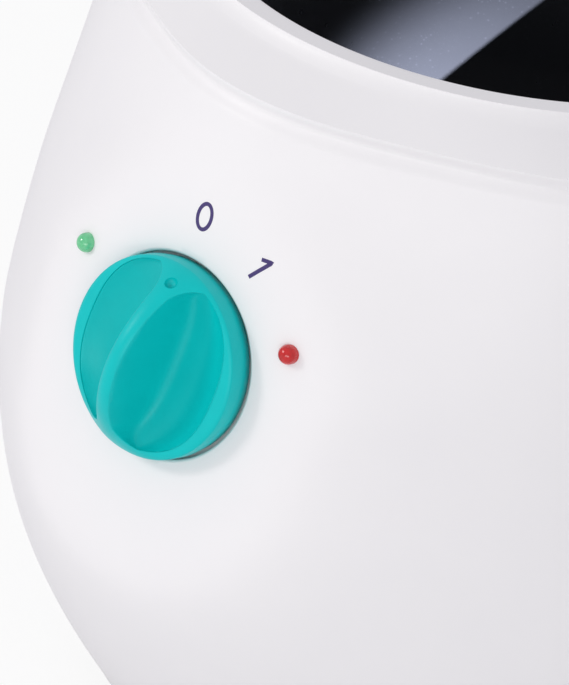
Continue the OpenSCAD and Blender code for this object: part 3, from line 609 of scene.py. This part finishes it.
knob = {
    "radius": 0.01515,
    "high": 0.0124,         # crown of the finger bar above the face
    "low": 0.0029,          # top of the straight side
    "rim": 0.0034,          # level of the shoulder round the pockets
    "rimWide": 0.0009,      # width of the rounding from the side to the shoulder
    "sideLow": 0.0008,      # foot of the straight side, from where it tapers to the back
    "back": -0.0017,
    "backRound": 0.0003,
    "taper": 0.0004,        # how far the side draws in at the back
    "stem": 0.0046,
    "stemEnd": -0.0045,
    "bore": 0.00305,
    "boreTop": 0.0001,
    "bulge": 0.79,
    "barFade": 0.0062,      # how fast the bar's flanks fall to the shoulder at its ends
    "turn": 8.0,            # degrees past the off mark
    "pocketWide": 0.0128,
    "pocketTall": 0.0139,
    "pocketUp": 0.0005,
    "pocketPower": 2.4,     # 2 is an ellipse, more is squarer
    "floor": 0.0009,        # level of the pockets' floor
    "floorAt": 0.5,         # where the floor is, as a share of the way from the bar to the rim
    "steep": 10,            # power of the fall from the bar to the floor
    "barHalf": 0.0012,
    "barFlare": 0.0008,
    "corner": 0.0028,
    "fillet": 0.00022,      # rounding of the pockets' edges
    "dimple": 0.0010,
    "dimpleAt": 0.0133,
    "dimpleUp": 0.0002,     # the dimple's ball stands this far above the surface
    "sections": 170,
    "across": 46,
    "rings": 26,
}


def knobTop(x, y):
    # shoulder with a rounded outer edge; on it a bar whose crown is an arch along y and which fades with x
    k = knob
    r = np.hypot(x, y)
    near = np.clip((k["radius"] - r) / k["rimWide"], 0, 1)
    shoulder = k["low"] + (k["rim"] - k["low"]) * np.sqrt(1 - (1 - near) ** 2)
    arch = k["low"] + (k["high"] - k["low"]) * np.clip(1 - (r / k["radius"]) ** 2, 0, 1) ** k["bulge"]
    return shoulder + np.maximum(arch - shoulder, 0) * np.exp(-(x / k["barFade"]) ** 2)


def pocketHalf():
    # right half of the dome: the pocket as sections across it, and a ring of grid from its outline outwards
    k = knob
    corner = k["barHalf"] + k["barFlare"] + k["corner"]
    power = k["pocketPower"]
    end = k["pocketTall"] * (1 - (corner / k["pocketWide"]) ** power) ** (1 / power)
    share = np.sin(np.linspace(-np.pi / 2, np.pi / 2, k["sections"]))
    bend = np.clip(1 - end * (1 - np.abs(share)) / k["corner"], 0, 1)
    bar = k["barHalf"] + k["barFlare"] * share ** 4 + k["corner"] * (1 - np.sqrt(1 - bend ** 2))
    oval = k["pocketWide"] * (1 - np.abs(end * share / k["pocketTall"]) ** power) ** (1 / power)
    rim = np.maximum(oval, bar)
    y = end * share + k["pocketUp"]
    deep = np.sqrt(1 - share ** 4)[:, None]
    part = (1 - np.cos(np.linspace(0, np.pi, k["across"]))) / 2
    x = mix(bar[:, None], rim[:, None], part)
    barTop, rimTop = knobTop(bar, y)[:, None], knobTop(rim, y)[:, None]
    # section: a curve that falls to the floor at floorAt and rises again to the rim
    fall = np.clip(1 - part / k["floorAt"], 0, 1) ** k["steep"]
    rise = np.clip((part - k["floorAt"]) / (1 - k["floorAt"]), 0, 1) ** 2
    scooped = k["floor"] + (barTop - k["floor"]) * fall + (rimTop - k["floor"]) * rise
    straight = mix(barTop, rimTop, part)
    z = mix(straight, scooped, deep)
    inside = np.stack([x, np.broadcast_to(y[:, None], x.shape), np.minimum(z, straight - k["fillet"])], -1)
    # outline: up the bar's side, then down the rim's side; each point has its own point of the border
    line = np.concatenate([np.stack([bar, y], -1), np.stack([rim, y], -1)[::-1][1:-1]])
    around = np.arctan2(rim, y)
    around = (around - around[-1]) / (around[0] - around[-1]) * np.pi
    border = np.concatenate([
        np.stack([np.zeros_like(y), k["radius"] * share], -1),
        (k["radius"] * np.stack([np.sin(around), np.cos(around)], -1))[::-1][1:-1]])
    way = border - line
    far = np.linalg.norm(way, axis=1)[:, None]
    way = way / far
    theta = np.linspace(np.pi / 2, 0, 7)[:, None, None]
    bendRings = line + way * k["fillet"] * (1 - np.sin(theta))
    bendZ = knobTop(bendRings[..., 0], bendRings[..., 1]) - (k["fillet"] * (1 - np.cos(theta)))[..., 0]
    t = np.linspace(0, 1, k["rings"])[1:, None, None]
    spread = mix(1 - (1 - t) ** 2, t, 0.35)         # rings stand closer towards the border
    rest = line + way * (k["fillet"] + (far - k["fillet"]) * spread)
    restZ = knobTop(rest[..., 0], rest[..., 1])
    outside = np.concatenate([np.concatenate([bendRings, bendZ[..., None]], -1),
                              np.concatenate([rest, restZ[..., None]], -1)])
    return inside, outside, border


def knobSurface():
    # both halves of the dome, then the side, the back, the stem and its bore below the same border points
    k = knob
    inside, outside, border = pocketHalf()
    points, quads = [], []

    def addGrid(grid, wrap, flip):
        start = sum(len(p) for p in points)
        points.append(grid.reshape(-1, 3))
        quads.append(gridQuads(grid.shape[0], grid.shape[1], wrap, flip) + start)

    for side in (1, -1):
        addGrid(inside * (side, 1, 1), False, side == 1)
        addGrid(outside * (side, 1, 1), True, side == 1)
    arcPoints = border[np.abs(border[:, 0]) > 1e-9]
    ring = np.concatenate([arcPoints, [[0, -k["radius"]]], arcPoints[::-1] * (-1, 1), [[0, k["radius"]]]])
    unit = ring / k["radius"]
    foot = k["radius"] - k["taper"]
    profile = np.array([[k["radius"], k["low"]], [k["radius"], k["sideLow"]],
                        [foot, k["back"] + k["backRound"]], [foot - k["backRound"], k["back"]],
                        [k["stem"], k["back"]], [k["stem"], k["stemEnd"]],
                        [k["bore"], k["stemEnd"]], [k["bore"], k["boreTop"]], [0.0, k["boreTop"]]])
    skirt = np.concatenate([unit * profile[:, 0][:, None, None],
                            np.broadcast_to(profile[:, 1][:, None, None], (len(profile), len(unit), 1))], -1)
    addGrid(skirt, True, True)
    local = np.concatenate(points)
    turn = math.radians(k["turn"])
    x = local[:, 0] * math.cos(turn) + local[:, 1] * math.sin(turn)
    y = local[:, 1] * math.cos(turn) - local[:, 0] * math.sin(turn)
    obj = meshFrom("knob_cap", onFace(x, y, local[:, 2]), np.concatenate(quads))
    weld(obj, 2e-7)
    return obj


def dimpleCutter():
    # a ball: rings of radius r cos(lift) at r sin(lift) above its middle
    k = knob
    turn = math.radians(k["turn"])
    q = fullTurn(64)
    lift = np.radians(np.linspace(-89, 89, 40))[:, None]
    radius = k["dimple"] * np.cos(lift)
    x = k["dimpleAt"] * math.sin(turn) + radius * np.sin(q)
    y = k["dimpleAt"] * math.cos(turn) + radius * np.cos(q)
    out = knobTop(0, k["dimpleAt"]) + k["dimpleUp"] + k["dimple"] * np.sin(lift)
    return ringSurface("dimple_cutter", onFace(x, y, out), flip=True)


shaft = {"radius": 0.003, "bevel": 0.0003, "back": -0.0101, "top": 0.0, "sides": 64}


def shaftSurface():
    # rings along the knob's axis, with a bevel at each end; it ends inside the bore, under the pockets' floor
    s = shaft
    q = fullTurn(s["sides"])
    radius = np.array([[s["radius"] - s["bevel"]], [s["radius"]], [s["radius"]], [s["radius"] - s["bevel"]]])
    out = np.array([[s["back"]], [s["back"] + s["bevel"]], [s["top"] - s["bevel"]], [s["top"]]])
    return ringSurface("shaft_round", onFace(radius * np.sin(q), radius * np.cos(q), out), flip=True)


knobObj = knobSurface()
cutWith(knobObj, dimpleCutter())
shadeSmooth(knobObj.data, 40)
dress(knobObj, "knob_teal", "knob", "knob")
dress(shaftSurface(), "steel", "knob", "switch_shaft")
print("knob:", len(knobObj.data.polygons), "faces")


lamp = {
    "across": (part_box("red_lamp")[0].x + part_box("red_lamp")[1].x) / 2,
    "up": 0.00914,
    "radius": 0.0015,
    "proud": 0.000363,      # top of the round end above the face's plane
    "body": 0.006,
    "flange": 0.0004,       # foot inside the housing, width and height
    "flangeTall": 0.001,
    "sides": 64,
}


def lampSurface(name, side):
    # a straight body with a round end, turned on the lamp's own axis
    low, foot = lamp["proud"] - lamp["body"], lamp["radius"] + lamp["flange"]
    profile = np.concatenate([[[foot, low - lamp["flangeTall"]], [foot, low], [lamp["radius"], low]],
                              arc((0, lamp["proud"] - lamp["radius"]), lamp["radius"], 0, 88, 18)])
    radius, out = profile[:, :1], profile[:, 1:]
    q = fullTurn(lamp["sides"])
    return ringSurface(name, onFace(side * lamp["across"] + radius * np.sin(q),
                                    lamp["up"] + radius * np.cos(q), out), flip=True)


for name, side in (("green", -1), ("red", 1)):
    dress(lampSurface("lens_" + name, side), "lamp_" + name, "base", name + "_lamp")
print("lamps done")


marks = {
    "ring": 0.0222,         # radius about the knob on which the marks stand
    "tall": 0.0045,
    "stroke": 0.00060,
    "thick": 0.00004,
    "zeroHalf": 0.00125,
    "oneAngle": 32.0,
    "oneLean": 41.0,
    "flagDown": 0.00127,    # the end of the one's short stroke from its tip, along it and to the left
    "flagLeft": 0.00122,
}


def strokeSurface(name, path, closed):
    # a flat ribbon of the stroke's width carried along the path, laid on the housing's surface
    half, thick = marks["stroke"] / 2, marks["thick"]
    ahead = np.roll(path, -1, 0) - np.roll(path, 1, 0)
    if not closed:
        ahead[0], ahead[-1] = path[1] - path[0], path[-1] - path[-2]
    ahead /= np.linalg.norm(ahead, axis=1)[:, None]
    across = np.stack([-ahead[:, 1], ahead[:, 0]], -1)
    share = np.array([-1, -0.94, -0.5, 0, 0.5, 0.94, 1, 0.94, -0.94])
    lift = np.array([0, 1, 1, 1, 1, 1, 0, -1, -1]) * thick
    x = path[:, :1] + across[:, :1] * half * share
    y = path[:, 1:] + across[:, 1:] * half * share
    rings = onFace(x, y, faceHeight(x, y) + lift)
    return loopSurface(name, rings, flip=True) if closed else ringSurface(name, rings, flip=True)


def zeroPath():
    # an upright ellipse
    m = marks
    q = fullTurn(72)
    return np.stack([m["zeroHalf"] * np.sin(q), m["ring"] + (m["tall"] - m["stroke"]) / 2 * np.cos(q)], -1)


def onePath():
    # from the flag's end to the tip, then straight down to the foot
    m = marks
    lean, angle = math.radians(m["oneLean"]), math.radians(m["oneAngle"])
    down = -np.array([math.sin(lean), math.cos(lean)])
    left = np.array([-math.cos(lean), math.sin(lean)])
    middle = m["ring"] * np.array([math.sin(angle), math.cos(angle)])
    tip, foot = middle - down * m["tall"] / 2, middle + down * m["tall"] / 2
    flag = tip + m["flagDown"] * down + m["flagLeft"] * left
    return np.concatenate([mix(flag, tip, np.linspace(0, 1, 8)[:-1, None]),
                           mix(tip, foot, np.linspace(0, 1, 24)[:, None])])


ink = inkPurple()
dress(strokeSurface("mark_zero", zeroPath(), True), "white_gloss", "base", material=ink)
dress(strokeSurface("mark_one", onePath(), False), "white_gloss", "base", material=ink)
print("marks done")


def turned(profile, sides=256):
    # rings: the profile (radius, height) turned round the well's upright axis
    q = fullTurn(sides)
    return np.stack([np.outer(profile[:, 0], np.cos(q)), np.outer(profile[:, 0], np.sin(q)) + wellY,
                     np.broadcast_to(profile[:, 1:], (len(profile), sides))], -1)


def bowlProfile():
    # from the middle of the underside out and up to the flange, over the lip, down the well and back
    b = bowl
    inner, outer = b["radius"], b["radius"] + b["wall"]
    top, under = b["flangeTop"], b["floor"] - b["floorWall"]
    return np.concatenate([
        [[b["core"], under], [outer - b["outerRound"], under]],
        arc((outer - b["outerRound"], under + b["outerRound"]), b["outerRound"], -80, 0, 9),
        [[outer, top - b["wall"]], [bowlHigh.x, top - b["wall"]], [bowlHigh.x, top]],
        [[inner + b["lip"], top]], arc((inner + b["lip"], top - b["lip"]), b["lip"], 100, 180, 7),
        arc((inner - b["bottomRound"], b["floor"] + b["bottomRound"]), b["bottomRound"], 0, -90, 14),
        [[b["core"], b["floor"]]]])


gasketLow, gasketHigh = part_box("well_gasket")
gasket = {
    "inner": collar["rimR"] + 0.0002,
    "outer": gasketHigh.x,
    "bow": 0.5,             # how far the inner edge is rounded, as a share of half the height
}


def gasketProfile():
    # square outer edge, half an ellipse as the inner edge
    g = gasket
    half, middle = (gasketHigh.z - gasketLow.z) / 2, (gasketLow.z + gasketHigh.z) / 2
    q = np.radians(np.linspace(-90, -270, 11))
    edge = np.stack([g["inner"] + half * g["bow"] * (1 + np.cos(q)), middle + half * np.sin(q)], -1)
    return np.concatenate([[[g["outer"], gasketHigh.z], [g["outer"], gasketLow.z]], edge])


dress(ringSurface("bowl_liner", turned(bowlProfile())), "bowl_coat", "base", "heating_bowl")
dress(loopSurface("gasket_ring", turned(gasketProfile()), flip=True), "silicone", "base", "well_gasket")
print("well done")


floor = {"half": 4.0, "colour": rgb(242, 242, 243), "rough": 0.9, "glow": 0.88}


def stageFloor():
    # a square at the level of the feet, which the camera sees nearly as white as the backdrop
    h = floor["half"]
    mesh = bpy.data.meshes.new("floor")
    mesh.from_pydata([(-h, -h, 0), (h, -h, 0), (h, h, 0), (-h, h, 0)], [], [(0, 1, 2, 3)])
    obj = bpy.data.objects.new("floor", mesh)
    bpy.context.scene.collection.objects.link(obj)
    f = Finish("paleFloor")
    f.set(Base_Color=floor["colour"], Roughness=floor["rough"])
    glow = f.add("ShaderNodeEmission", {}, {"Color": (1, 1, 1, 1), "Strength": 1.0})
    path = f.add("ShaderNodeLightPath", {}, {})
    seen = Value(f.tree, path.outputs["Is Camera Ray"]) * floor["glow"]
    both = f.add("ShaderNodeMixShader", {}, {0: seen, 1: f.surface.outputs[0], 2: glow.outputs[0]})
    feed(f.tree, f.out.inputs["Surface"], both.outputs[0])
    mesh.materials.append(f.material)


light = {
    "worldLevel": 0.69,
    "worldColour": (0.96, 0.95, 1.0),
    "boxColour": (1.0, 0.985, 0.96),
    "boxes": [   # name, size, power, place, aim
        ("key_box", (0.2, 0.2), 2.2, (-0.59, -0.75, 0.55), (0, 0, 0.08)),
        ("low_box", (0.9, 0.3), 2.7, (0.55, -1.0, 0.18), (0, -0.03, 0.03)),
    ],
    "wellTurn": 101.5,      # direction and rise of the lamp that shines into the well, degrees
    "wellRise": 38.5,
    "wellFar": 0.6,
    "wellPower": 900.0,
    "wellAim": 192.0,       # the spot of the wall that it is aimed at, and how far that lies below the rim
    "wellRadius": 0.044,
    "wellDrop": 0.040,
    "wellCone": 6.6,
    "wellSoft": 0.004,
    "wellColour": (0.88, 0.88, 1.0),
}


def towards(turn, rise):
    # the direction at turn degrees from the front and rise degrees above level
    turn, rise = math.radians(turn), math.radians(rise)
    return Vector((math.sin(turn) * math.cos(rise), -math.cos(turn) * math.cos(rise), math.sin(rise)))


def studioWorld():
    # the backdrop shows at full strength, and lights the object at worldLevel
    world = bpy.data.worlds.new("studio")
    bpy.context.scene.world = world
    world.use_nodes = True
    tree = world.node_tree
    path = addNode(tree, "ShaderNodeLightPath", {}, {})
    seen = Value(tree, path.outputs["Is Camera Ray"]).calc("MAXIMUM", path.outputs["Is Transmission Ray"])
    back = tree.nodes["Background"]
    feed(tree, back.inputs["Color"], light["worldColour"] + (1,))
    feed(tree, back.inputs["Strength"], light["worldLevel"] + (1 - light["worldLevel"]) * seen)


def addLamp(name, kind, settings, place, aim):
    data = bpy.data.lights.new(name, kind)
    for key, value in settings.items():
        setattr(data, key, value)
    obj = bpy.data.objects.new(name, data)
    obj.location = place
    obj.rotation_euler = (Vector(aim) - Vector(place)).to_track_quat("-Z", "Y").to_euler()
    bpy.context.scene.collection.objects.link(obj)
    return obj


def studioLamps():
    # soft boxes, and a narrow lamp into the well: the mouth's edge shades the right part of the far wall
    for name, (wide, tall), power, place, aim in light["boxes"]:
        addLamp(name, "AREA", {"shape": "RECTANGLE", "size": wide, "size_y": tall, "energy": power,
                               "color": light["boxColour"]}, place, aim)
    aim = Vector(onRing(light["wellAim"], light["wellRadius"], body["rimZ"] - light["wellDrop"]))
    place = aim + towards(light["wellTurn"], light["wellRise"]) * light["wellFar"]
    spot = addLamp("well_lamp", "SPOT", {"energy": light["wellPower"], "color": light["wellColour"],
                                         "spot_size": math.radians(light["wellCone"]), "spot_blend": 1.0,
                                         "shadow_soft_size": light["wellSoft"]}, place, aim)
    # it lights the well's wall alone, so none of it falls on the housing's side or on the floor
    lit = bpy.data.collections.new("lit_by_well_lamp")
    lit.objects.link(bpy.data.objects["bowl_liner"])
    spot.light_linking.receiver_collection = lit


shot = {
    "turn": 37.08, "rise": 26.75, "roll": 10.23,      # degrees, from the front, above level, leaning
    "right": -0.03475, "up": -0.05671,                # the picture's middle from the rim's middle
    "far": 0.89, "focal": 6.621 * 890, "tall": 685,   # focal length and height of the picture in pixels
    "sensor": 36,
}


def makeCamera():
    # looks along the direction to the rim's middle, leaned by roll, and set off sideways and upwards
    roll = math.radians(shot["roll"])
    back = towards(shot["turn"], shot["rise"])
    right = Vector((math.cos(math.radians(shot["turn"])), math.sin(math.radians(shot["turn"])), 0))
    up = back.cross(right)
    sideways = right * math.cos(roll) + up * math.sin(roll)
    upwards = up * math.cos(roll) - right * math.sin(roll)
    middle = Vector((0, wellY, body["rimZ"])) + sideways * shot["right"] + upwards * shot["up"]
    camData = bpy.data.cameras.new("camera")
    camData.sensor_fit = "VERTICAL"
    camData.sensor_height = shot["sensor"]
    camData.lens = shot["focal"] / shot["tall"] * shot["sensor"]
    camData.clip_end = 20
    cam = bpy.data.objects.new("camera", camData)
    axes = Matrix((sideways, upwards, back)).transposed().to_4x4()
    cam.matrix_world = Matrix.Translation(middle + back * shot["far"]) @ axes
    bpy.context.scene.collection.objects.link(cam)
    bpy.context.scene.camera = cam


stageFloor()
studioWorld()
studioLamps()
makeCamera()
bpy.context.scene.view_settings.view_transform = "Standard"
print("stage, lights and camera done")
